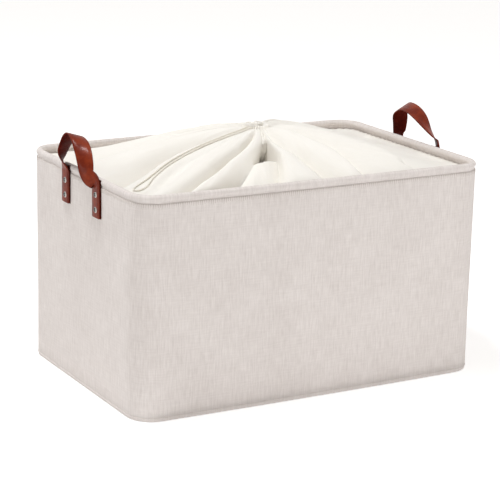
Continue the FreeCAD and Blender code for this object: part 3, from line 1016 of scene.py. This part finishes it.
# %% Strap places
# Out from the wall, along the wall from the handle's middle, up from the crease (m),
# and the turn of the strap's width in degrees.
STRAP_MID, CREASE_Z, SHIFT = 0.0027, 0.3243, -0.005
ARCH = {
    "left": [(STRAP_MID, 0.055, 0.005, 90), (0.007, 0.057, 0.020, 65), (0.0065, 0.058, 0.031, 35),
             (0.0045, 0.046, 0.0515, 6), (0.003, 0.031, 0.064, -15), (0.006, -0.014, 0.051, 21),
             (0.009, -0.0325, 0.028, 49), (0.008, -0.041, 0.0145, 69),
             (STRAP_MID, -0.055, 0.005, 90)],
    "right": [(STRAP_MID, 0.055, 0.005, 90), (0.007, 0.0595, 0.016, 74),
              (0.007, 0.058, 0.0375, 44), (0.0045, 0.0525, 0.0555, -10),
              (-0.001, 0.027, 0.066, -24), (-0.003, -0.0125, 0.057, -9),
              (0.002, -0.0375, 0.0345, 37), (0.009, -0.0485, 0.0165, 68),
              (STRAP_MID, -0.055, 0.005, 90)],
}
STRAP_W, STRAP_T = 0.025, 0.0022
# Section: across from the middle (share of half the width), out from the middle
# (share of half the thickness), and its finish: 0 face, 1 underside, 2 edge.
SECTION = [(-1.00, 0.45, 2), (-0.955, 0.95, 0), (-0.87, 1.0, 0), (-0.835, 0.72, 0),
           (-0.80, 1.0, 0), (-0.4, 1.06, 0), (0.0, 1.08, 0), (0.4, 1.06, 0), (0.80, 1.0, 0),
           (0.835, 0.72, 0), (0.87, 1.0, 0), (0.955, 0.95, 2), (1.00, 0.45, 2),
           (1.00, -0.45, 2), (0.95, -0.95, 1), (0.5, -1.0, 1), (0.0, -1.0, 1), (-0.5, -1.0, 1),
           (-0.95, -0.95, 2), (-1.00, -0.45, 2)]
print("strap section of", len(SECTION), "points")


# %% Strap stations
def strap_stations(side, places):
    """Middle, width direction and face direction of the strap, end to end."""
    spots = np.array([(side * (HALF_X + out), y + SHIFT, CREASE_Z + up)
                      for out, y, up, _ in places])
    turns = np.array([[turn] for _, _, _, turn in places], dtype=float)
    knots = np.concatenate([[0], np.cumsum(np.linalg.norm(np.diff(spots, axis=0), axis=1))])
    spot_slope = slopes(knots, spots, ((0, 0, 1), (0, 0, -1)))
    turn_slope = slopes(knots, turns)
    arch = []
    for step in range(121):
        u = knots[-1] * step / 120
        here = Vector(between(knots, spots, spot_slope, u))
        ahead = Vector(between(knots, spots, spot_slope, min(u + 1e-4, knots[-1])))
        behind = Vector(between(knots, spots, spot_slope, max(u - 1e-4, 0)))
        along = (ahead - behind).normalized()
        outward = Vector((side, 0, 0))
        outward = (outward - along * outward.dot(along)).normalized()
        across = along.cross(outward) * -side
        angle = math.radians(float(between(knots, turns, turn_slope, u)[0]))
        wide = outward * math.cos(angle) + across * math.sin(angle)
        arch.append((here, wide, along.cross(wide), 1.0))
    flip = 1 if arch[0][2].x * side > 0 else -1
    arch = [(here, wide, face * flip, 1.0) for here, wide, face, _ in arch]
    legs = []
    for end, order in ((0, 1), (-1, -1)):
        here, wide, face, _ = arch[end]
        leg = []
        for z, width in ((0.2800, 0.86), (0.2803, 0.92), (0.2810, 0.97), (0.2822, 1.0),
                         (0.2880, 1.0), (0.2960, 1.0), (0.3040, 1.0), (0.3120, 1.0),
                         (0.3170, 1.0), (0.3190, 1.0), (0.3210, 1.0), (0.3230, 1.0),
                         (0.3245, 1.0), (0.3260, 1.0), (0.3275, 1.0)):
            leg.append((Vector((here.x, here.y, z)), wide, face, width))
        legs.append(leg[::order])
    return legs[0] + arch + legs[1]


print("left strap:", len(strap_stations(-1, ARCH["left"])), "stations")


# %% Straps
def strap(name, side):
    stations = strap_stations(side, ARCH[name])
    bm = bmesh.new()
    spot = bm.verts.layers.int.new("spot")
    row = bm.verts.layers.int.new("row")
    bmesh.ops.create_circle(bm, cap_ends=False, segments=len(SECTION), radius=1)
    for count, vert in enumerate(bm.verts):
        vert[spot] = count

    def put(verts, number):
        here, wide, face, width = stations[number]
        for vert in verts:
            across, out, _ = SECTION[vert[spot]]
            vert[row] = number
            vert.co = (here + wide * (across * width * STRAP_W / 2) + face * (out * STRAP_T / 2))

    put(bm.verts[:], 0)
    ring = bm.edges[:]
    bmesh.ops.holes_fill(bm, edges=ring, sides=0)
    for number in range(1, len(stations)):
        made = bmesh.ops.extrude_edge_only(bm, edges=ring)["geom"]
        verts = {g for g in made if isinstance(g, bmesh.types.BMVert)}
        ring = [g for g in made
                if isinstance(g, bmesh.types.BMEdge) and verts.issuperset(g.verts)]
        put(verts, number)
    bmesh.ops.holes_fill(bm, edges=ring, sides=0)
    for face in bm.faces:
        spots = sorted(vert[spot] for vert in face.verts)
        lowest = spots[-1] if spots[-1] - spots[0] > len(SECTION) / 2 else spots[0]
        face.material_index = 2 if len(face.verts) > 4 else SECTION[lowest][2]
    # the second material, on the underside faces, carries painted shade
    made = piece(bm, name + "_strap", [leather, underside_painted_shade, cut_edge], None,
                 [name + "_handle_arch", name + "_front_strap_leg", name + "_rear_strap_leg"])
    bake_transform(made)


strap("left", -1)
strap("right", 1)

# %% [markdown]
# ## CAD pieces that keep their shape
# The rivets, washers, backing tabs, board and wire are already the right shape, so
# they only get a finish.

# %% Finishes on the CAD pieces
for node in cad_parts:
    part = bpy.data.objects[node]
    coat = None
    if "rivet_caps" in node or "rivet_backs" in node or "rivet_washers" in node:
        coat = nickel
    elif "backing_tab" in node:
        # the backing tabs' dark brown is partly painted shade
        coat = underside_painted_shade
    elif node == "rim_wire":
        coat = steel
    elif node == "base_board":
        coat = board
    elif node == "hem_cord":
        coat = cord_cotton
    if coat:
        for place in part.material_slots:
            place.material = coat
        if not part.material_slots:
            part.data.materials.append(coat)
print("finished CAD pieces")

# %% Sizes before and after
low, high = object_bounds()
{"cad": [list(v) for v in cad_box], "visual": [list(low), list(high)]}
print("visual size (mm):", [round(1000 * x, 1) for x in (high - low)])
